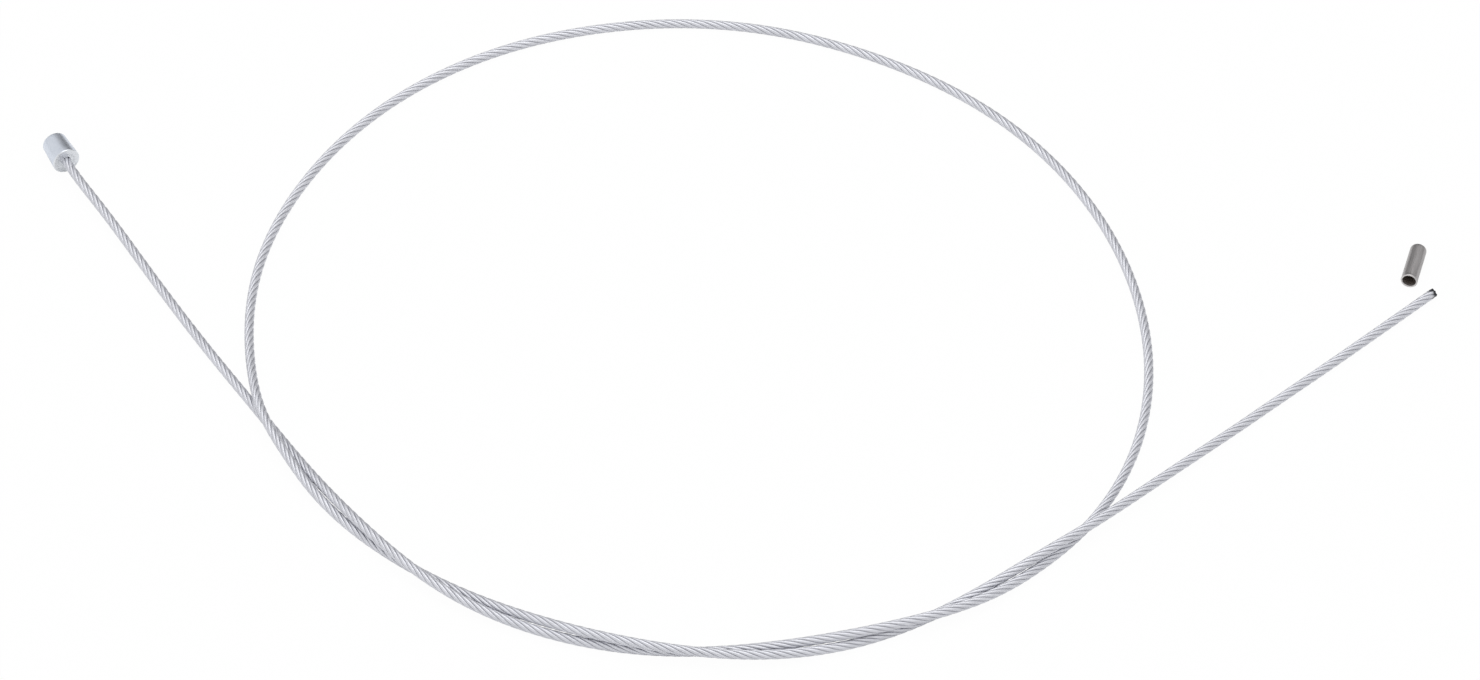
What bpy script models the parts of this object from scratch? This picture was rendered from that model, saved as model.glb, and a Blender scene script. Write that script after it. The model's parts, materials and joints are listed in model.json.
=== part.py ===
"""Inner wire of a bicycle control cable, laid down in one open loop.

One steel wire rope carries a cast nipple on its first end and is cut square on its other end, beside which lies
the end sleeve that was pulled off it. The rope goes once round the loop, and where it comes back to its start the
two passes lie twisted together along the near side.

Metres, +Z up. The origin is the middle of the outline seen from above, on the surface that the cable lies on.
"""

import math

import bmesh
import bpy
import numpy as np
from mathutils import Vector

# Wire rope
ROPE_LENGTH = 0.800         # along the centre line; it sets how wide the whole route is laid
WIRE_DIAMETER = 0.0016
WIRE_BEVEL_STEPS = 2        # how finely each half of the tube is rounded
TUBE_STEP = 0.012           # longest straight piece of the tube
PASS_GAP = 0.0001           # air between the two passes where they are twisted together
STRAIGHT_OUT = 0.0040       # how far the rope runs straight out of the nipple's mouth

# Nipple: a short cast cylinder with a little draft, wider at the mouth where the rope comes out
NIPPLE_LENGTH = 0.0055
NIPPLE_MOUTH_DIAMETER = 0.0049
NIPPLE_BACK_DIAMETER = 0.0044
NIPPLE_MOUTH_ROUND = 0.0002
NIPPLE_BACK_ROUND = 0.0004
NIPPLE_PLACE = (-0.1155, 0.0387)    # middle of the mouth face on the drawn route, seen from above
NIPPLE_HEADING = math.radians(-62.1)
BORE_CLEARANCE = 0.0003             # round the rope, and past its end
BACK_WALL = 0.0010                  # metal left between the bore and the back face
RECESS_DIAMETER = 0.0031            # shallow dish in the mouth face, round the rope
RECESS_DEPTH = 0.0005

# End sleeve: a drawn cap with a rolled mouth and a rounded closed end
SLEEVE_LENGTH = 0.0084
SLEEVE_PLAY = 0.00065               # how much wider the bore is than the rope that it goes over
SLEEVE_WALL = 0.0003
SLEEVE_LIP_LENGTH = 0.0006
SLEEVE_LIP_RISE = 0.00003           # how far the rolled mouth stands out of the side
SLEEVE_END_ROUND = 0.0007
SLEEVE_ASIDE = (-0.0041, 0.0021)    # from the rope's cut end to the middle of the mouth, seen from above
SLEEVE_HEADING = math.radians(-106.2)

NIPPLE_SIDES = 48
SLEEVE_SIDES = 36
ARC_STEPS = 5

# Route of the rope, seen from above: x, y and a lift. In the lead the lift is the share that is left of the
# drop from the nipple's middle to the surface, and elsewhere it is counted in rope diameters. All places
# are drawn for a rope of DRAWN_LENGTH, and spread or drawn in with ROPE_LENGTH.
DRAWN_LENGTH = 0.800
LEAD = [
    (-0.1093, 0.0284, 0.75),
    (-0.0999, 0.0132, 0.12),
    (-0.0881, -0.0063, 0.0),
]
LOOP = [
    (0.0658, -0.0323, 0.0),
    (0.0700, -0.0094, 0.0),
    (0.0673, 0.0137, 0.0),
    (0.0586, 0.0353, 0.0),
    (0.0442, 0.0537, 0.0),
    (0.0252, 0.0671, 0.0),
    (0.0033, 0.0749, 0.0),
    (-0.0200, 0.0753, 0.0),
    (-0.0422, 0.0683, 0.0),
    (-0.0608, 0.0544, 0.0),
    (-0.0740, 0.0353, 0.0),
    (-0.0810, 0.0131, 0.06),
    (-0.0807, -0.0111, 0.62),
]
TAIL = [
    (0.0716, -0.0359, 0.5),
    (0.0849, -0.0235, 0.0),
    (0.1027, -0.0074, 0.0),
    (0.1193, 0.0079, 0.0),
]

# Middle line of the twisted stretch: x, y and how far, in degrees, the two passes have turned about each other.
# At 0 the first pass lies under the second one, and at 90 it lies on the inside of the loop.
TWIST = [
    (-0.0775, -0.0233, 18),
    (-0.0685, -0.0385, 98),
    (-0.0570, -0.0521, 181),
    (-0.0433, -0.0632, 255),
    (-0.0264, -0.0711, 322),
    (-0.0081, -0.0749, 392),
    (0.0096, -0.0744, 466),
    (0.0276, -0.0694, 551),
    (0.0431, -0.0608, 641),
    (0.0565, -0.0493, 738),
]
TWIST_STEPS = 2             # places worked out from each point of the twist to the next

WIRE_RADIUS = WIRE_DIAMETER / 2
BORE_DEPTH = NIPPLE_LENGTH - BACK_WALL
NIPPLE_HEIGHT = NIPPLE_MOUTH_DIAMETER / 2
SLEEVE_BORE_RADIUS = WIRE_RADIUS + SLEEVE_PLAY / 2
SLEEVE_RADIUS = SLEEVE_BORE_RADIUS + SLEEVE_WALL
SLEEVE_HEIGHT = SLEEVE_RADIUS + SLEEVE_LIP_RISE
SPREAD = ROPE_LENGTH / DRAWN_LENGTH
MOUTH_X, MOUTH_Y = (SPREAD * place for place in NIPPLE_PLACE)
SLEEVE_X = SPREAD * TAIL[-1][0] + SLEEVE_ASIDE[0]
SLEEVE_Y = SPREAD * TAIL[-1][1] + SLEEVE_ASIDE[1]


def material(name, colour, metallic, roughness):
    made = bpy.data.materials.new(name)
    made.use_nodes = True
    shader = made.node_tree.nodes["Principled BSDF"]
    shader.inputs["Base Color"].default_value = (*colour, 1.0)
    shader.inputs["Metallic"].default_value = metallic
    shader.inputs["Roughness"].default_value = roughness
    return made


def smooth_curve(points, steps_between):
    """Natural cubic spline through the points.

    steps_between(distance) says how many pieces the curve gets from one point to the next.
    """
    points = np.array(points, float)
    gap = np.linalg.norm(np.diff(points[:, :2], axis=0), axis=1)
    slope = np.diff(points, axis=0) / gap[:, None]
    system = np.eye(len(points))
    pull = np.zeros_like(points)
    for i in range(1, len(points) - 1):
        system[i, i - 1:i + 2] = gap[i - 1], 2 * (gap[i - 1] + gap[i]), gap[i]
        pull[i] = 6 * (slope[i] - slope[i - 1])
    bend = np.linalg.solve(system, pull)
    curve = [points[0]]
    for i, length in enumerate(gap):
        steps = steps_between(length)
        for step in range(1, steps + 1):
            b = step / steps
            a = 1 - b
            straight = a * points[i] + b * points[i + 1]
            sag = (a ** 3 - a) * bend[i] + (b ** 3 - b) * bend[i + 1]
            curve.append(straight + length ** 2 / 6 * sag)
    return np.array(curve)


def lifted(rows, rise):
    """Route rows as points, with the rope's own radius under each one."""
    return [(SPREAD * x, SPREAD * y, WIRE_RADIUS + lift * rise) for x, y, lift in rows]


def twisted_passes():
    """Both passes of the twisted stretch, each going round their middle line on opposite sides."""
    middle = smooth_curve(TWIST, lambda distance: TWIST_STEPS)
    middle[:, :2] *= SPREAD
    along = np.gradient(middle[:, :2], axis=0)
    along /= np.linalg.norm(along, axis=1)[:, None]
    turn = np.radians(middle[:, 2])
    radius = (WIRE_DIAMETER + PASS_GAP) / 2
    inward = radius * np.sin(turn)
    offset = np.column_stack([-along[:, 1] * inward, along[:, 0] * inward, -radius * np.cos(turn)])
    centre = np.column_stack([middle[:, :2], np.full(len(middle), WIRE_RADIUS + radius)])
    return centre + offset, centre - offset


def rope_route():
    """Centre line of the whole rope, from its end inside the nipple to the cut end."""
    out = Vector((math.cos(NIPPLE_HEADING), math.sin(NIPPLE_HEADING), 0))
    mouth = Vector((MOUTH_X, MOUTH_Y, NIPPLE_HEIGHT))
    rope_end = BORE_DEPTH - BORE_CLEARANCE
    start = [mouth - rope_end * out, mouth + STRAIGHT_OUT * out]
    first_pass, second_pass = twisted_passes()
    route = np.vstack([
        start,
        lifted(LEAD, NIPPLE_HEIGHT - WIRE_RADIUS),
        first_pass,
        lifted(LOOP, WIRE_DIAMETER),
        second_pass,
        lifted(TAIL, WIRE_DIAMETER),
    ])
    curve = smooth_curve(route, lambda distance: max(1, round(distance / TUBE_STEP)))
    curve[:, 2] = np.maximum(curve[:, 2], WIRE_RADIUS)
    return curve


def tube(name, points, diameter, look):
    curve = bpy.data.curves.new(name, "CURVE")
    curve.dimensions = "3D"
    curve.bevel_depth = diameter / 2
    curve.bevel_resolution = WIRE_BEVEL_STEPS
    curve.use_fill_caps = True
    spline = curve.splines.new("POLY")
    spline.points.add(len(points) - 1)
    spline.points.foreach_set("co", np.column_stack([points, np.ones(len(points))]).ravel())
    spline.use_smooth = True
    made = bpy.data.objects.new(name, curve)
    made.data.materials.append(look)
    bpy.context.collection.objects.link(made)
    return made


def arc(centre_along, centre_radius, radius, start, end):
    """Rounded edge as (along, radius) points; 0 degrees faces along the axis and 90 degrees away from it."""
    angles = np.radians(np.linspace(start, end, ARC_STEPS + 1))
    return [(centre_along + radius * math.cos(a), centre_radius + radius * math.sin(a)) for a in angles]


def nipple_profile():
    """Half section from the bore's bottom, out through the dish, over the side and back to the axis.

    The mouth face is at 0 and the back face at minus the nipple's length.
    """
    bore = WIRE_RADIUS + BORE_CLEARANCE
    bottom = -BORE_DEPTH
    mouth = NIPPLE_MOUTH_DIAMETER / 2
    back = NIPPLE_BACK_DIAMETER / 2
    front_round = arc(-NIPPLE_MOUTH_ROUND, mouth - NIPPLE_MOUTH_ROUND, NIPPLE_MOUTH_ROUND, 0, 90)
    back_round = arc(NIPPLE_BACK_ROUND - NIPPLE_LENGTH, back - NIPPLE_BACK_ROUND, NIPPLE_BACK_ROUND, 90, 180)
    dish_width = RECESS_DIAMETER / 2 - bore
    dish_angles = np.radians(np.linspace(0, 90, ARC_STEPS))
    dish = [(-RECESS_DEPTH * math.cos(a), bore + dish_width * math.sin(a)) for a in dish_angles]
    return [(bottom, 0), (bottom, bore), *dish, *front_round, *back_round, (-NIPPLE_LENGTH, 0)]


def sleeve_profile():
    """Half section of the sleeve, from the inside of its closed end to the mouth and back over the outside."""
    outer = SLEEVE_RADIUS
    inner = SLEEVE_BORE_RADIUS
    lip = outer + SLEEVE_LIP_RISE
    closed = -SLEEVE_LENGTH
    inner_round = SLEEVE_END_ROUND - SLEEVE_WALL
    shoulder = closed + SLEEVE_END_ROUND
    inside = arc(shoulder, inner - inner_round, inner_round, 180, 90)
    outside = arc(shoulder, outer - SLEEVE_END_ROUND, SLEEVE_END_ROUND, 90, 180)
    rim_round = SLEEVE_WALL / 2
    rim = arc(-rim_round, lip - rim_round, rim_round, 270, 450)
    neck = [(-SLEEVE_LIP_LENGTH / 2, lip), (-SLEEVE_LIP_LENGTH, outer)]
    return [(closed + SLEEVE_WALL, 0), *inside, (-SLEEVE_LIP_LENGTH, inner), *rim, *neck, *outside, (closed, 0)]


def turned(name, profile, sides, place, heading, look):
    """Turns a half section about its axis; the axis then lies level, with the mouth facing along the heading."""
    mesh = bpy.data.meshes.new(name)
    work = bmesh.new()
    corners = [work.verts.new((radius, 0, along)) for along, radius in profile]
    edges = [work.edges.new(pair) for pair in zip(corners, corners[1:])]
    bmesh.ops.spin(work, geom=corners + edges, cent=(0, 0, 0), axis=(0, 0, 1), angle=math.tau,
                   steps=sides, use_merge=True)
    bmesh.ops.remove_doubles(work, verts=work.verts, dist=1e-7)
    bmesh.ops.recalc_face_normals(work, faces=work.faces)
    work.to_mesh(mesh)
    work.free()
    mesh.shade_smooth()
    mesh.set_sharp_from_angle(angle=math.radians(35))
    mesh.materials.append(look)
    made = bpy.data.objects.new(name, mesh)
    bpy.context.collection.objects.link(made)
    made.location = place
    made.rotation_euler = (0, math.radians(90), heading)
    return made


for old in list(bpy.data.objects):
    bpy.data.objects.remove(old)

galvanised_steel = material("galvanised_steel", (0.47, 0.48, 0.50), 1.0, 0.38)
zinc_casting = material("zinc_casting", (0.50, 0.52, 0.53), 0.9, 0.50)
nickel_plate = material("nickel_plate", (0.33, 0.33, 0.34), 1.0, 0.32)

assembly = bpy.data.objects.new("cable", None)
bpy.context.collection.objects.link(assembly)
pieces = [
    tube("inner_wire", rope_route(), WIRE_DIAMETER, galvanised_steel),
    turned("nipple", nipple_profile(), NIPPLE_SIDES, (MOUTH_X, MOUTH_Y, NIPPLE_HEIGHT), NIPPLE_HEADING,
           zinc_casting),
    turned("end_sleeve", sleeve_profile(), SLEEVE_SIDES, (SLEEVE_X, SLEEVE_Y, SLEEVE_HEIGHT), SLEEVE_HEADING,
           nickel_plate),
]
for piece in pieces:
    piece.parent = assembly
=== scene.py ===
"""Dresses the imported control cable: a stranded wire rope, its cast nipple and the end sleeve pulled off it.

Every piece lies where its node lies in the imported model. Metres, +Z up, with the table at 0.
"""

import json

import bpy
import numpy as np
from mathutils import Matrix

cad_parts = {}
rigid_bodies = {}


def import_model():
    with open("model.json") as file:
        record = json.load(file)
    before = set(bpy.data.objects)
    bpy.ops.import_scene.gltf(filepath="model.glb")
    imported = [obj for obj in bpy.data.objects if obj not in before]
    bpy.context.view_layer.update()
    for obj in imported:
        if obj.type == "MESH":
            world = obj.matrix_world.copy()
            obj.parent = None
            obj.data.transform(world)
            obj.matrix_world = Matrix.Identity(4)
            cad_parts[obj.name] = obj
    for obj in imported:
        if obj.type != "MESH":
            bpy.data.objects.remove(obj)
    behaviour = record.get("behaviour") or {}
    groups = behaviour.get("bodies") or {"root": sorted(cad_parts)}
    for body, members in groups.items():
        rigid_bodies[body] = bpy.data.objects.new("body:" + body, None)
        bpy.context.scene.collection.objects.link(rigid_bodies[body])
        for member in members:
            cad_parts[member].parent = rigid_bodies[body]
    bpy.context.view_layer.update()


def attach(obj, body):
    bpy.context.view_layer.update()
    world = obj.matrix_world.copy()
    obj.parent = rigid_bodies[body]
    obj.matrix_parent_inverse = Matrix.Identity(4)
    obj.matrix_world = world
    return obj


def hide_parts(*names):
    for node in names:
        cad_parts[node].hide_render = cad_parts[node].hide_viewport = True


for old in list(bpy.data.objects):
    bpy.data.objects.remove(old)

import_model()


# Wire rope. Seven galvanised steel wires are laid into a strand, six strands are laid right-handed round a
# seventh, and a die presses them together. One end is cast into the nipple, and the other is cut off square.
# Where the rope comes back to its start after one open loop, its two passes lie twisted together.
ROPE_DIAMETER = 0.0016
ROPE_RADIUS = ROPE_DIAMETER / 2
ROPE_LAY = 0.0107           # length in which a strand goes once round the rope
OUTER_STRANDS = 6
STRAND_RADIUS = 0.0003
STRAND_CIRCLE = 0.00054     # from the rope's middle to the middle of an outer strand
WIRES_ROUND = 6             # outer wires of one strand
WIRE_TURNS = 3              # turns of a wire round its strand, the other way, in one rope lay
WIRE_GROOVE = 0.000006      # depth that the die leaves of the grooves between a strand's wires
DIE_RADIUS = 0.000802       # the die that the rope is drawn through, a hair wider than the rope it leaves
DIE_SOFTNESS = 0.00002      # depth over which the die begins to press
STATION = 0.0003            # distance between two sections along the rope
WIRE_POINTS = 4             # points of a section on each wire
CORE_WIRE_POINTS = 2        # the same in the core strand, which shows only at the cut
CUT_UNEVEN = 0.00012        # how far back the shortest strand ends at the cut
CUT_WAVE = 2.4              # radians from one strand to the next of the wave that makes the cut uneven
CUT_SPREAD = 0.00004        # how far the strands spring outwards at the cut
CUT_SPREAD_LENGTH = 0.0012
PASS_GAP = 0.0001           # air between the two passes where they are twisted together
STRAIGHT_OUT = 0.0040       # how far the rope runs straight out of the nipple

# The rope starts in the bore of the nipple.
NIPPLE_PLACE = (-0.1155, 0.0387)    # middle of the mouth face, seen from above
NIPPLE_HEADING = np.radians(-62.1)  # the way the mouth faces, from +X
NIPPLE_MOUTH_RADIUS = 0.00245
NIPPLE_BORE_DEPTH = 0.0045
ROPE_SHORT = 0.0003                 # left free between the rope's end and the bore's bottom

# Route of the rope, seen from above: x, y and a lift. In the lead the lift is the share that is left of the
# drop from the nipple's middle to the table, and elsewhere it is counted in rope diameters.
LEAD = [
    (-0.1093, 0.0284, 0.75),
    (-0.0999, 0.0132, 0.12),
    (-0.0881, -0.0063, 0.0),
]
LOOP = [
    (0.0658, -0.0323, 0.0),
    (0.0700, -0.0094, 0.0),
    (0.0673, 0.0137, 0.0),
    (0.0586, 0.0353, 0.0),
    (0.0442, 0.0537, 0.0),
    (0.0252, 0.0671, 0.0),
    (0.0033, 0.0749, 0.0),
    (-0.0200, 0.0753, 0.0),
    (-0.0422, 0.0683, 0.0),
    (-0.0608, 0.0544, 0.0),
    (-0.0740, 0.0353, 0.0),
    (-0.0810, 0.0131, 0.06),
    (-0.0807, -0.0111, 0.62),
]
TAIL = [
    (0.0716, -0.0359, 0.5),
    (0.0849, -0.0235, 0.0),
    (0.1027, -0.0074, 0.0),
    (0.1193, 0.0079, 0.0),
]

# Middle line of the twisted stretch: x, y and how far, in degrees, the two passes have turned about each
# other. At 0 the first pass lies under the second one, and at 90 it lies on the inside of the loop.
TWIST = [
    (-0.0775, -0.0233, 18),
    (-0.0685, -0.0385, 98),
    (-0.0570, -0.0521, 181),
    (-0.0433, -0.0632, 255),
    (-0.0264, -0.0711, 322),
    (-0.0081, -0.0749, 392),
    (0.0096, -0.0744, 466),
    (0.0276, -0.0694, 551),
    (0.0431, -0.0608, 641),
    (0.0565, -0.0493, 738),
]


def smooth_curve(points, parts):
    """Natural cubic spline through the points, with the same number of parts in every gap.

    At the share b of a gap of length h, seen from above, with a = 1 - b, the curve is the straight line
    between the two points plus h^2 / 6 * ((a^3 - a) * bend_before + (b^3 - b) * bend_after). The bends at the
    points are those that make the slope run on through each of them, and are 0 at the two ends.
    """
    points = np.array(points, float)
    gap = np.linalg.norm(np.diff(points[:, :2], axis=0), axis=1)
    slope = np.diff(points, axis=0) / gap[:, None]
    system = np.diag(np.r_[1, 2 * (gap[:-1] + gap[1:]), 1])
    system += np.diag(np.r_[gap[:-1], 0], -1) + np.diag(np.r_[0, gap[1:]], 1)
    pull = np.zeros_like(points)
    pull[1:-1] = 6 * np.diff(slope, axis=0)
    bend = np.linalg.solve(system, pull)
    i = np.repeat(np.arange(len(gap)), parts)
    b = np.tile(np.arange(parts) / parts, len(gap))[:, None]
    a = 1 - b
    sag = (a ** 3 - a) * bend[i] + (b ** 3 - b) * bend[i + 1]
    curve = a * points[i] + b * points[i + 1] + gap[i, None] ** 2 / 6 * sag
    return np.vstack([curve, points[-1]])


def unit(vectors):
    """The vectors, each divided by its length."""
    return vectors / np.linalg.norm(vectors, axis=-1, keepdims=True)


def level_axis(heading):
    """Unit vector that lies level and points along a heading from +X."""
    return np.array([np.cos(heading), np.sin(heading), 0])


def lifted(rows, rise):
    """Route rows as points: on the table at lift 0, and higher by lift times the rise."""
    return [(x, y, ROPE_RADIUS + lift * rise) for x, y, lift in rows]


def twisted_passes():
    """Both passes of the twisted stretch.

    Each lies half a rope and half the gap away from their middle line, on opposite sides of it, in the
    direction -cos(turn) * up + sin(turn) * inward.
    """
    middle = smooth_curve(TWIST, parts=2)
    along = unit(np.gradient(middle[:, :2], axis=0))
    turn = np.radians(middle[:, 2])
    radius = (ROPE_DIAMETER + PASS_GAP) / 2
    inward = radius * np.sin(turn)
    offset = np.column_stack([-along[:, 1] * inward, along[:, 0] * inward, -radius * np.cos(turn)])
    centre = np.column_stack([middle[:, :2], np.full(len(middle), ROPE_RADIUS + radius)])
    return centre + offset, centre - offset


def rope_centre_line():
    """The whole rope's middle line, and how far along it each point lies."""
    out = level_axis(NIPPLE_HEADING)
    mouth = np.array([*NIPPLE_PLACE, NIPPLE_MOUTH_RADIUS])
    start = [mouth - (NIPPLE_BORE_DEPTH - ROPE_SHORT) * out, mouth + STRAIGHT_OUT * out]
    first_pass, second_pass = twisted_passes()
    route = np.vstack([
        start,
        lifted(LEAD, NIPPLE_MOUTH_RADIUS - ROPE_RADIUS),
        first_pass,
        lifted(LOOP, ROPE_DIAMETER),
        second_pass,
        lifted(TAIL, ROPE_DIAMETER),
    ])
    line = smooth_curve(route, parts=80)
    line[:, 2] = np.maximum(line[:, 2], ROPE_RADIUS)
    run = np.r_[0, np.cumsum(np.linalg.norm(np.diff(line, axis=0), axis=1))]
    return line, run


rope_line, rope_run = rope_centre_line()
rope_length = rope_run[-1]


def strand_route(distance, number):
    """Where an outer strand lies at distances along the rope.

    Gives the rope's middle there, the direction outwards from it to the strand, and how far out the strand's
    middle is. The strand is a right-handed screw line: its angle round the rope is its number's share of a
    turn, plus a full turn for each rope lay. Towards the cut its circle widens a little.
    """
    centre = np.column_stack([np.interp(distance, rope_run, axis) for axis in rope_line.T])
    along = unit(np.gradient(centre, axis=0))
    side = unit(np.cross([0, 0, 1], along))
    up = np.cross(along, side)
    angle = 2 * np.pi * (distance / ROPE_LAY + number / OUTER_STRANDS)
    outwards = np.cos(angle)[:, None] * side + np.sin(angle)[:, None] * up
    spring = np.clip(1 - (rope_length - distance) / CUT_SPREAD_LENGTH, 0, 1) ** 2
    return centre, outwards, STRAND_CIRCLE + CUT_SPREAD * spring


def ring_angles(sides):
    """Angles of the points of a ring, evenly spaced over one turn."""
    return 2 * np.pi * np.arange(sides) / sides


def strand_rings(number, core):
    """Sections of one strand as rings of points, how far along the rope each lies, and the points' depths.

    A section is a circle with grooves between its wires: at the share w of the way from the middle of a wire
    to the groove beside it, the radius is the strand's less the groove's depth times w^3. The section turns
    backwards against the strand as it goes along, so that the wires on the rope's outside run straight. Then
    the die presses it down: a point at d from the rope's middle comes to r - s * ln(1 + exp((r - d) / s)),
    with the die's radius r and softness s, which is d well inside the die and never more than r. A point's
    depth is how far it lay under the rope's outside before that.
    """
    uneven = CUT_UNEVEN * (0.5 + 0.5 * np.sin(CUT_WAVE * number))
    distance = np.linspace(0, rope_length - uneven, round(rope_length / STATION) + 1)
    centre, outwards, circle = strand_route(distance, number)
    middle = centre if core else centre + circle[:, None] * outwards
    along = unit(np.gradient(middle, axis=0))
    across = unit(np.cross(along, outwards))
    outwards = np.cross(across, along)
    around = ring_angles(WIRES_ROUND * (CORE_WIRE_POINTS if core else WIRE_POINTS))
    from_wire = np.abs((around * WIRES_ROUND / np.pi + 1) % 2 - 1)
    radius = STRAND_RADIUS - WIRE_GROOVE * from_wire ** 3
    angle = around - 2 * np.pi * WIRE_TURNS * distance[:, None] / ROPE_LAY
    rings = middle[:, None] + radius[None, :, None] * (
        np.cos(angle)[..., None] * outwards[:, None] + np.sin(angle)[..., None] * across[:, None]
    )
    from_rope_middle = np.linalg.norm(rings - centre[:, None], axis=-1)
    inside = np.log1p(np.exp((DIE_RADIUS - from_rope_middle) / DIE_SOFTNESS))
    pressed = (DIE_RADIUS - DIE_SOFTNESS * inside) / from_rope_middle
    rings = centre[:, None] + (rings - centre[:, None]) * pressed[..., None]
    return rings, distance, ROPE_RADIUS - from_rope_middle


def grid_piece(name, rings, along, marks, look):
    """Piece whose mesh is a tube of rings of points, with a middle point that closes each of its two ends.

    Its UV map is (way round the ring, way along) in millimetres. Each mark is an attribute of its points,
    given as one value for each ring or for each ring point.
    """
    count, sides = rings.shape[:2]
    points = np.vstack([rings.reshape(-1, 3), rings[0].mean(axis=0), rings[-1].mean(axis=0)])
    ring, side = np.meshgrid(np.arange(count - 1), np.arange(sides), indexing="ij")
    next_side = (side + 1) % sides
    walls = np.stack([ring * sides + side, ring * sides + next_side,
                      (ring + 1) * sides + next_side, (ring + 1) * sides + side], axis=-1).reshape(-1, 4)
    edge = np.arange(sides)
    edge_next = (edge + 1) % sides
    last = (count - 1) * sides
    first_end = np.column_stack([np.full(sides, count * sides), edge_next, edge])
    last_end = np.column_stack([np.full(sides, count * sides + 1), last + edge, last + edge_next])
    mesh = bpy.data.meshes.new(name)
    mesh.from_pydata(points, [], walls.tolist() + first_end.tolist() + last_end.tolist())

    girth = np.linalg.norm(rings - np.roll(rings, 1, axis=1), axis=-1).sum(axis=1).max()
    round_way = np.stack([side, side + 1, side + 1, side], axis=-1) * girth / sides
    along_way = np.stack([along[ring], along[ring], along[ring + 1], along[ring + 1]], axis=-1)
    uv = np.zeros((len(mesh.loops), 2))
    uv[:walls.size] = 1000 * np.stack([round_way, along_way], axis=-1).reshape(-1, 2)
    mesh.uv_layers.new(name="drawn").data.foreach_set("uv", uv.ravel())
    for mark, values in marks.items():
        values = np.broadcast_to(values, (count, sides))
        values = np.r_[values.reshape(-1), values[0].mean(), values[-1].mean()]
        mesh.attributes.new(mark, "FLOAT", "POINT").data.foreach_set("value", values)

    mesh.shade_smooth()
    mesh.materials.append(look)
    piece = bpy.data.objects.new(name, mesh)
    bpy.context.collection.objects.link(piece)
    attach(piece, "root")
    return piece


def linear(colour):
    """sRGB hex colour as linear light: v / 12.92 up to 0.04045, and ((v + 0.055) / 1.055)^2.4 above."""
    v = np.array([int(colour[i:i + 2], 16) for i in (1, 3, 5)]) / 255
    return (*np.where(v <= 0.04045, v / 12.92, ((v + 0.055) / 1.055) ** 2.4), 1.0)


def feed(node, inputs):
    """Gives a node its inputs. Each is a number, a colour, or the output of another node to link to it."""
    for name, value in inputs.items():
        if isinstance(value, bpy.types.NodeSocket):
            node.id_data.links.new(value, node.inputs[name])
        else:
            node.inputs[name].default_value = value


def add_node(owner, kind, inputs=None, settings=None, stops=()):
    """Adds a node to a material or world. Stops are the places and colours of a colour ramp.

    In a colour mix, input 0 is the share of the second colour, 6 and 7 are the two colours, and output 2 is
    the mixed one.
    """
    node = owner.node_tree.nodes.new(kind)
    for name, value in (settings or {}).items():
        setattr(node, name, value)
    feed(node, inputs or {})
    if stops:
        ramp = node.color_ramp
        while len(ramp.elements) < len(stops):
            ramp.elements.new(1.0)
        for element, (place, colour) in zip(ramp.elements, stops):
            element.position = place
            element.color = linear(colour)
    return node


def new_material(name):
    """A new material and its shader."""
    material = bpy.data.materials.new(name)
    material.use_nodes = True
    return material, material.node_tree.nodes["Principled BSDF"]


# Galvanised steel wire, drawn through a die before it is stranded. The zinc gives a soft bluish grey sheen
# in faint patches, and the drawing leaves fine lines along each wire. The grooves between the strands are
# painted darker the deeper they lie, which is painted shade, and the strands are darkest where they were cut.
ZINC_PATCH = 0.0025         # about as wide as one patch
WIRE_LINES = (16.0, 0.4)    # drawing lines in a millimetre, across and along; coarse enough to show
GROOVE_SHADE_DEPTH = 0.00028      # depth under the rope's outside at which the painted shade in a groove is darkest
CUT_MARK = 0.0004           # length of the dark mark on the strands that have the shortest
CUT_MARK_STEP = 0.00015     # how much longer it is on the next strand, and again on the one after
CUT_MARK_LENGTHS = 3        # different lengths, before the shortest comes again
NOISE_SPREAD = {"From Min": 0.3, "From Max": 0.7}   # a noise seldom leaves this range

galvanised_wire, shader = new_material("galvanised_drawn_steel_wire")
# The groove mark gives painted shade: the deeper a point lies under the rope's outside, the darker its
# colour.
groove = add_node(galvanised_wire, "ShaderNodeAttribute", settings={"attribute_name": "groove"})
cut = add_node(galvanised_wire, "ShaderNodeAttribute", settings={"attribute_name": "cut"})
zinc_and_groove_shade = add_node(galvanised_wire, "ShaderNodeValToRGB", {"Fac": groove.outputs["Fac"]},
                stops=[(0.0, "#DFE0E6"), (0.35, "#D3D4DA"), (0.7, "#AEAFB5"), (1.0, "#7C7D83")])
place = add_node(galvanised_wire, "ShaderNodeTexCoord")
patches = add_node(galvanised_wire, "ShaderNodeTexNoise",
                   {"Vector": place.outputs["Object"], "Scale": 1 / ZINC_PATCH, "Detail": 3.0})
patch_tone = add_node(galvanised_wire, "ShaderNodeMapRange",
                      {"Value": patches.outputs["Fac"], **NOISE_SPREAD, "To Min": 0.92, "To Max": 1.0})
toned = add_node(galvanised_wire, "ShaderNodeMix",
                 {0: 1.0, 6: zinc_and_groove_shade.outputs["Color"], 7: patch_tone.outputs["Result"]},
                 {"data_type": "RGBA", "blend_type": "MULTIPLY"})
zinc_or_cut = add_node(galvanised_wire, "ShaderNodeMix",
                       {0: cut.outputs["Fac"], 6: toned.outputs[2], 7: linear("#3A3C40")},
                       {"data_type": "RGBA"})
lines_map = add_node(galvanised_wire, "ShaderNodeMapping",
                     {"Vector": place.outputs["UV"], "Scale": (*WIRE_LINES, 1.0)})
lines = add_node(galvanised_wire, "ShaderNodeTexNoise",
                 {"Vector": lines_map.outputs["Vector"], "Scale": 1.0, "Detail": 2.0})
rough = add_node(galvanised_wire, "ShaderNodeMapRange",
                 {"Value": lines.outputs["Fac"], **NOISE_SPREAD, "To Min": 0.46, "To Max": 0.54})
bump = add_node(galvanised_wire, "ShaderNodeBump",
                {"Height": lines.outputs["Fac"], "Strength": 0.06, "Distance": 0.00001})
feed(shader, {
    "Base Color": zinc_or_cut.outputs[2],
    "Metallic": 1.0,
    "Roughness": rough.outputs["Result"],
    "Normal": bump.outputs["Normal"],
})


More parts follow.
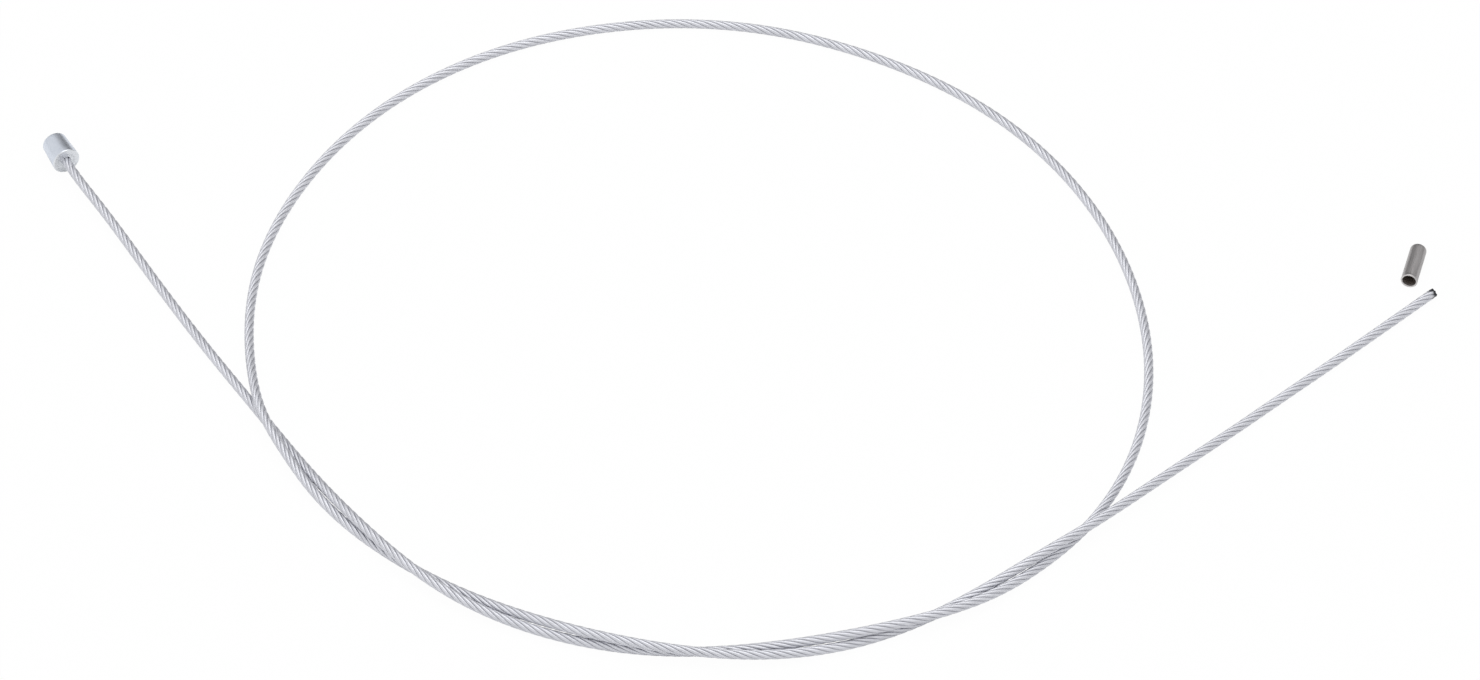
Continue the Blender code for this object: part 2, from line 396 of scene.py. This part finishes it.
def make_strand(name, number, core=False):
    """One strand. The cut's mark is full over its length from the end and fades out over as much again."""
    rings, distance, depth = strand_rings(number, core)
    mark_length = CUT_MARK + CUT_MARK_STEP * (number % CUT_MARK_LENGTHS)
    cut_mark = np.clip(2 - (rope_length - distance) / mark_length, 0, 1)
    # The groove mark is painted shade in the grooves between the strands and between the wires.
    marks = {"groove": np.clip(depth / GROOVE_SHADE_DEPTH, 0, 1), "cut": cut_mark[:, None]}
    return grid_piece(name, rings, distance, marks, galvanised_wire)


strands = [make_strand(f"strand_{number + 1}", number) for number in range(OUTER_STRANDS)]
core_strand = make_strand("core_strand", 0, core=True)
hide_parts("inner_wire")


# Nipple. A die-cast zinc cylinder, cast straight onto the rope's end. It has a little draft so that it leaves
# the die, rounded edges, and a rough dish in the mouth face where the runner was broken off round the wire.
NIPPLE_LENGTH = 0.0055
NIPPLE_BACK_RADIUS = 0.0022
NIPPLE_MOUTH_ROUND = 0.0002
NIPPLE_BACK_ROUND = 0.0004
NIPPLE_SIDES = 144
NIPPLE_HUB = 0.0001         # radius of the first ring, round the point that closes the back
BORE_PLAY = 0.00001         # air round the rope; the zinc is cast onto it
BORE_RADIUS = ROPE_RADIUS + BORE_PLAY
DISH_RADIUS = 0.00155
DISH_DEPTH = 0.00010
DISH_EDGE = 0.0003          # width over which the lumps die out towards the dish's edge
LUMP_HEIGHT = 0.00005       # of the broken metal in the dish
LUMP_WAVES = (2, 3, 5, 7, 11)   # waves round the wire
LUMP_SWIRL = 9000           # radians that each wave is turned for a metre outwards
LUMP_SHIFT = 1.7            # radians that set the waves apart
MOUTH_MARK_DEPTH = 0.00015        # how far down from the mouth face the lighter colour reaches: fresh broken metal and painted light


def arc(centre, radius, start, end):
    """Arc of eight steps as (along, radius) rows. At 0 degrees it faces along the axis, at 90 outwards."""
    angle = np.radians(np.linspace(start, end, 9))
    return np.column_stack([centre[0] + radius * np.cos(angle), centre[1] + radius * np.sin(angle)])


def straight(start, end, steps):
    """The rows between two rows of a profile, evenly spaced on a straight line, without the two."""
    share = np.arange(1, steps)[:, None] / steps
    return (1 - share) * np.array(start) + share * np.array(end)


def turned_rings(profile, sides, place, height, heading):
    """Rings of a profile of (along, radius) rows, turned about a level axis that points along the heading.

    A point is place + along * axis + radius * (cos(angle) * side + sin(angle) * up).
    """
    axis = level_axis(heading)
    side = np.array([-axis[1], axis[0], 0])
    up = np.array([0, 0, 1])
    angle = ring_angles(sides)
    spoke = np.cos(angle)[:, None] * side + np.sin(angle)[:, None] * up
    centre = np.array([*place, height]) + profile[:, :1] * axis
    return centre[:, None] + profile[:, 1, None, None] * spoke


def profile_way(profile):
    """How far along the profile each of its rows lies."""
    return np.r_[0, np.cumsum(np.linalg.norm(np.diff(profile, axis=0), axis=1))]


def broken_metal(angle, radius):
    """Lumps as a sum of waves: for each k, sin(k * angle + swirl * k * radius + shift * k^2) / k."""
    return sum(np.sin(k * angle + LUMP_SWIRL * k * radius + LUMP_SHIFT * k * k) / k for k in LUMP_WAVES)


# The profile goes from the middle of the back, along the side, over the mouth face and through the dish, a
# quarter of an ellipse, to the bottom of the bore.
back_hub = (-NIPPLE_LENGTH, NIPPLE_HUB)
back_arc = arc((NIPPLE_BACK_ROUND - NIPPLE_LENGTH, NIPPLE_BACK_RADIUS - NIPPLE_BACK_ROUND),
               NIPPLE_BACK_ROUND, 180, 90)
mouth_arc = arc((-NIPPLE_MOUTH_ROUND, NIPPLE_MOUTH_RADIUS - NIPPLE_MOUTH_ROUND), NIPPLE_MOUTH_ROUND, 90, 0)
dish_angle = np.radians(np.linspace(90, 0, 15))
dish = np.column_stack([-DISH_DEPTH * np.cos(dish_angle),
                        BORE_RADIUS + (DISH_RADIUS - BORE_RADIUS) * np.sin(dish_angle)])
bore_bottom = (-NIPPLE_BORE_DEPTH, BORE_RADIUS)
nipple_profile = np.vstack([
    back_hub,
    straight(back_hub, back_arc[0], steps=12),
    back_arc,
    straight(back_arc[-1], mouth_arc[0], steps=40),
    mouth_arc,
    straight(mouth_arc[-1], dish[0], steps=10),
    dish,
    straight(dish[-1], bore_bottom, steps=10),
    bore_bottom,
])
nipple_rings = turned_rings(nipple_profile, NIPPLE_SIDES, NIPPLE_PLACE, NIPPLE_MOUTH_RADIUS, NIPPLE_HEADING)
# The mouth mark takes in the face, most of its rounded edge and the dish; its lighter colour is partly
# painted light.
on_mouth = (nipple_profile[:, :1] > -MOUTH_MARK_DEPTH).astype(float)
in_dish = on_mouth * np.clip((DISH_RADIUS - nipple_profile[:, 1:]) / DISH_EDGE, 0, 1)
lumps = LUMP_HEIGHT * in_dish * broken_metal(ring_angles(NIPPLE_SIDES), nipple_profile[:, 1:])
nipple_rings += lumps[..., None] * level_axis(NIPPLE_HEADING)

# Die-cast zinc. The die leaves a matt, bluish skin with faint cloudy flow marks and small pits. On the mouth
# face the runner was broken off. The face, most of its rounded edge and the dish are brighter and less blue:
# partly fresh metal, partly painted light, which lightens the shaded dish and paints a highlight on the edge.
FLOW_MARKS = 900.0          # flow marks in a metre, which makes one 1.1 mm wide
PIT = 0.0005                # about as wide as one pit; coarser than the real ones, so that they show

zinc_casting, shader = new_material("die_cast_zinc")
place = add_node(zinc_casting, "ShaderNodeTexCoord")
trimmed_and_painted_light = add_node(zinc_casting, "ShaderNodeAttribute", settings={"attribute_name": "trimmed_and_painted_light"})
flow = add_node(zinc_casting, "ShaderNodeTexNoise",
                {"Vector": place.outputs["Object"], "Scale": FLOW_MARKS, "Detail": 4.0})
skin = add_node(zinc_casting, "ShaderNodeValToRGB", {"Fac": flow.outputs["Fac"]},
                stops=[(0.3, "#D9DFEA"), (0.5, "#DDE3ED"), (0.7, "#E1E6F0")])
# Mouth face and dish lighter: fresh metal, with painted light in the shaded dish and a painted highlight on
# the edge.
skin_or_trimmed_and_painted_light = add_node(zinc_casting, "ShaderNodeMix",
                           {0: trimmed_and_painted_light.outputs["Fac"], 6: skin.outputs["Color"], 7: linear("#E7EAEE")},
                           {"data_type": "RGBA"})
pits = add_node(zinc_casting, "ShaderNodeTexNoise",
                {"Vector": place.outputs["Object"], "Scale": 1 / PIT, "Detail": 1.0})
rough = add_node(zinc_casting, "ShaderNodeMapRange",
                 {"Value": flow.outputs["Fac"], **NOISE_SPREAD, "To Min": 0.33, "To Max": 0.38})
bump = add_node(zinc_casting, "ShaderNodeBump",
                {"Height": pits.outputs["Fac"], "Strength": 0.08, "Distance": 0.00002})
feed(shader, {
    "Base Color": skin_or_trimmed_and_painted_light.outputs[2],
    "Metallic": 1.0,
    "Roughness": rough.outputs["Result"],
    "Normal": bump.outputs["Normal"],
})

nipple = grid_piece("cast_nipple", nipple_rings, profile_way(nipple_profile), {"trimmed_and_painted_light": on_mouth},
                    zinc_casting)
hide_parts("nipple")


# End sleeve. A thin brass cap, drawn in one piece with a rounded closed end and nickel plated. Its mouth is
# rolled out a little so that it slips over the strands. It was pulled off the cut end and lies beside it.
SLEEVE_LENGTH = 0.0084
SLEEVE_PLAY = 0.000325      # air between the rope and the bore, all round, when the sleeve is on
SLEEVE_WALL = 0.0003
SLEEVE_BORE_RADIUS = ROPE_RADIUS + SLEEVE_PLAY
SLEEVE_RADIUS = SLEEVE_BORE_RADIUS + SLEEVE_WALL
SLEEVE_END_ROUND = 0.0007
SLEEVE_LIP_LENGTH = 0.0006
SLEEVE_LIP_RISE = 0.00003
SLEEVE_LIP_CURVE = [(1.0, 0.0), (0.75, 0.3), (0.5, 0.8)]    # shares of the lip's length and rise
SLEEVE_SIDES = 96
SLEEVE_HUB = 0.00008        # radius of the first and last ring, round the points that close the end
SLEEVE_ASIDE = (-0.0041, 0.0021)    # from the rope's cut end to the middle of the sleeve's mouth
SLEEVE_HEADING = np.radians(-106.2)

# The profile goes from the middle of the closed end, along the outside, round the rim and back along the
# inside.
lip_radius = SLEEVE_RADIUS + SLEEVE_LIP_RISE
rim_round = SLEEVE_WALL / 2
inner_round = SLEEVE_END_ROUND - SLEEVE_WALL
end_hub = (-SLEEVE_LENGTH, SLEEVE_HUB)
inner_hub = (SLEEVE_WALL - SLEEVE_LENGTH, SLEEVE_HUB)
round_start = SLEEVE_END_ROUND - SLEEVE_LENGTH
outer_end = arc((round_start, SLEEVE_RADIUS - SLEEVE_END_ROUND), SLEEVE_END_ROUND, 180, 90)
inner_end = arc((round_start, SLEEVE_BORE_RADIUS - inner_round), inner_round, 90, 180)
lip = [(-SLEEVE_LIP_LENGTH * back, SLEEVE_RADIUS + SLEEVE_LIP_RISE * rise)
       for back, rise in SLEEVE_LIP_CURVE]
rim = arc((-rim_round, lip_radius - rim_round), rim_round, 90, -90)
lip_inside = (-SLEEVE_LIP_LENGTH, SLEEVE_BORE_RADIUS)
sleeve_profile = np.vstack([
    end_hub,
    straight(end_hub, outer_end[0], steps=5),
    outer_end,
    straight(outer_end[-1], lip[0], steps=24),
    lip,
    rim,
    lip_inside,
    straight(lip_inside, inner_end[0], steps=24),
    inner_end,
    inner_hub,
])
sleeve_place = np.add(TAIL[-1][:2], SLEEVE_ASIDE)
sleeve_rings = turned_rings(sleeve_profile, SLEEVE_SIDES, sleeve_place, lip_radius, SLEEVE_HEADING)

# Marks, by how far along the profile a ring is past the rim's front. The rim's bright band, burnishing and a
# painted highlight, is a wall wide and fades out over a wall on both sides, and the inside starts two walls
# past the front.
sleeve_way = profile_way(sleeve_profile)[:, None]
past_rim = sleeve_way - sleeve_way[np.argmax(sleeve_profile[:, 0])]
sleeve_marks = {
    "inside": (past_rim > 2 * SLEEVE_WALL).astype(float),
    "burnished_and_highlight": np.clip(1.5 - np.abs(past_rim - 0.5 * SLEEVE_WALL) / SLEEVE_WALL, 0, 1),
}

# Nickel-plated brass. The plating is a warm neutral grey with a satin shine, and the drawing leaves faint
# lines along the side. Rolling burnishes the rim, which is also painted brighter all round as a painted
# highlight. The bath hardly reaches the inside, which stays dull brown brass.
SLEEVE_LINES = (7.0, 0.3)   # drawing lines in a millimetre, across and along; coarse enough to show

nickel_plating, shader = new_material("nickel_plated_drawn_brass")
place = add_node(nickel_plating, "ShaderNodeTexCoord")
unplated = add_node(nickel_plating, "ShaderNodeAttribute", settings={"attribute_name": "inside"})
burnished_and_highlight = add_node(nickel_plating, "ShaderNodeAttribute", settings={"attribute_name": "burnished_and_highlight"})
lines_map = add_node(nickel_plating, "ShaderNodeMapping",
                     {"Vector": place.outputs["UV"], "Scale": (*SLEEVE_LINES, 1.0)})
lines = add_node(nickel_plating, "ShaderNodeTexNoise",
                 {"Vector": lines_map.outputs["Vector"], "Scale": 1.0, "Detail": 3.0})
plate = add_node(nickel_plating, "ShaderNodeValToRGB", {"Fac": lines.outputs["Fac"]},
                 stops=[(0.35, "#A19E9E"), (0.65, "#AEABAB")])
# The rim's brighter colour is burnishing and a painted highlight.
plate_or_rim = add_node(nickel_plating, "ShaderNodeMix",
                        {0: burnished_and_highlight.outputs["Fac"], 6: plate.outputs["Color"], 7: linear("#DBD8D7")},
                        {"data_type": "RGBA"})
plate_or_brass = add_node(nickel_plating, "ShaderNodeMix",
                          {0: unplated.outputs["Fac"], 6: plate_or_rim.outputs[2], 7: linear("#7C726B")},
                          {"data_type": "RGBA"})
metal = add_node(nickel_plating, "ShaderNodeMapRange",
                 {"Value": unplated.outputs["Fac"], "To Min": 1.0, "To Max": 0.3})
rough = add_node(nickel_plating, "ShaderNodeMapRange",
                 {"Value": lines.outputs["Fac"], **NOISE_SPREAD, "To Min": 0.26, "To Max": 0.36})
bump = add_node(nickel_plating, "ShaderNodeBump",
                {"Height": lines.outputs["Fac"], "Strength": 0.04, "Distance": 0.00001})
feed(shader, {
    "Base Color": plate_or_brass.outputs[2],
    "Metallic": metal.outputs["Result"],
    "Roughness": rough.outputs["Result"],
    "Normal": bump.outputs["Normal"],
})

sleeve = grid_piece("drawn_sleeve", sleeve_rings, sleeve_way[:, 0], sleeve_marks,
                    nickel_plating)
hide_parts("end_sleeve")


# Table. A wide sheet of matt white. The camera sees it as nearly plain white, and the small share that is lit
# carries the soft shadows.
TABLE_HALF = 3.0
TABLE_GLOW = 0.97           # share of plain white that the camera sees

white_table, shader = new_material("white_table")
feed(shader, {"Base Color": linear("#F4F4F4"), "Roughness": 0.9, "Specular IOR Level": 0.0})
ray = add_node(white_table, "ShaderNodeLightPath")
share = add_node(white_table, "ShaderNodeMath", {0: ray.outputs["Is Camera Ray"], 1: TABLE_GLOW},
                 {"operation": "MULTIPLY"})
glow = add_node(white_table, "ShaderNodeEmission", {"Color": linear("#FFFFFF"), "Strength": 1.0})
mixed = add_node(white_table, "ShaderNodeMixShader",
                 {0: share.outputs[0], 1: shader.outputs[0], 2: glow.outputs[0]})
feed(white_table.node_tree.nodes["Material Output"], {"Surface": mixed.outputs[0]})

table_mesh = bpy.data.meshes.new("table")
corners = [(x * TABLE_HALF, y * TABLE_HALF, 0.0) for x, y in ((-1, -1), (1, -1), (1, 1), (-1, 1))]
table_mesh.from_pydata(corners, [], [(0, 1, 2, 3)])
table_mesh.materials.append(white_table)
table = bpy.data.objects.new("table", table_mesh)
bpy.context.collection.objects.link(table)


# Light. A tent of soft white panels, with one wide soft lamp high up behind the cable. The tent is nearly
# open low down at the back right, which gives the metal its dark bands. The camera sees the tent as white.
TENT_PANELS = [             # azimuth from +X and height in degrees, sharpness, brightness
    (15, 12, 5, 0.52),
    (45, 12, 5, 0.05),
    (135, 12, 5, 0.35),
    (180, 12, 5, 0.72),
    (225, 12, 5, 0.66),
    (270, 12, 5, 0.42),
    (315, 12, 5, 0.36),
    (45, 48, 7, 0.66),
    (135, 48, 7, 0.54),
    (225, 48, 7, 0.34),
    (315, 48, 7, 0.93),
    (0, 90, 8, 0.9),
]
LAMP_PLACE = (0.0, 0.4, 1.1)
LAMP_WIDTH = 0.9
LAMP_DEPTH = 0.6
LAMP_POWER = 3.0


def towards(azimuth, height):
    """Unit vector that points to an azimuth and a height in degrees."""
    a, h = np.radians((azimuth, height))
    return np.cos(a) * np.cos(h), np.sin(a) * np.cos(h), np.sin(h)


def tent_light(world):
    """The panels' light added up, each brightness * cos(angle away from its middle) ^ sharpness."""
    direction = add_node(world, "ShaderNodeTexCoord")
    light = 0.0
    for azimuth, height, sharpness, brightness in TENT_PANELS:
        facing = add_node(world, "ShaderNodeVectorMath",
                          {0: direction.outputs["Generated"], 1: towards(azimuth, height)},
                          {"operation": "DOT_PRODUCT"})
        in_front = add_node(world, "ShaderNodeMath", {0: facing.outputs["Value"], 1: 0.0},
                            {"operation": "MAXIMUM"})
        faded = add_node(world, "ShaderNodeMath", {0: in_front.outputs[0], 1: sharpness},
                         {"operation": "POWER"})
        added = add_node(world, "ShaderNodeMath", {0: faded.outputs[0], 1: brightness, 2: light},
                         {"operation": "MULTIPLY_ADD"})
        light = added.outputs[0]
    return light


tent = bpy.data.worlds.new("tent")
tent.use_nodes = True
bpy.context.scene.world = tent
ray = add_node(tent, "ShaderNodeLightPath")
seen = add_node(tent, "ShaderNodeMix",
                {0: ray.outputs["Is Camera Ray"], 6: tent_light(tent), 7: linear("#FFFFFF")},
                {"data_type": "RGBA"})
feed(tent.node_tree.nodes["Background"], {"Color": seen.outputs[2]})

lamp_data = bpy.data.lights.new("tent_top", "AREA")
lamp_data.shape = "RECTANGLE"
lamp_data.size = LAMP_WIDTH
lamp_data.size_y = LAMP_DEPTH
lamp_data.energy = LAMP_POWER
lamp = bpy.data.objects.new("tent_top", lamp_data)
x, y, z = LAMP_PLACE
lamp.location = LAMP_PLACE
lamp.rotation_euler = (np.arctan2(np.hypot(x, y), z), 0, np.arctan2(x, -y))
bpy.context.collection.objects.link(lamp)


# Camera. A long lens that looks down at the cable, halfway between level and upright.
CAMERA_ELEVATION = np.radians(45)
CAMERA_DISTANCE = 1.042
CAMERA_AIM = np.array([0.0013, -0.0027, 0.0])
CAMERA_LENS = 150           # millimetres, in front of a 36 mm wide sensor

camera_data = bpy.data.cameras.new("camera")
camera_data.lens = CAMERA_LENS
camera_data.sensor_width = 36
camera = bpy.data.objects.new("camera", camera_data)
back_and_up = np.array([0, -np.cos(CAMERA_ELEVATION), np.sin(CAMERA_ELEVATION)])
camera.location = CAMERA_AIM + CAMERA_DISTANCE * back_and_up
camera.rotation_euler = (np.pi / 2 - CAMERA_ELEVATION, 0, 0)
bpy.context.collection.objects.link(camera)
bpy.context.scene.camera = camera
bpy.context.scene.view_settings.view_transform = "Standard"
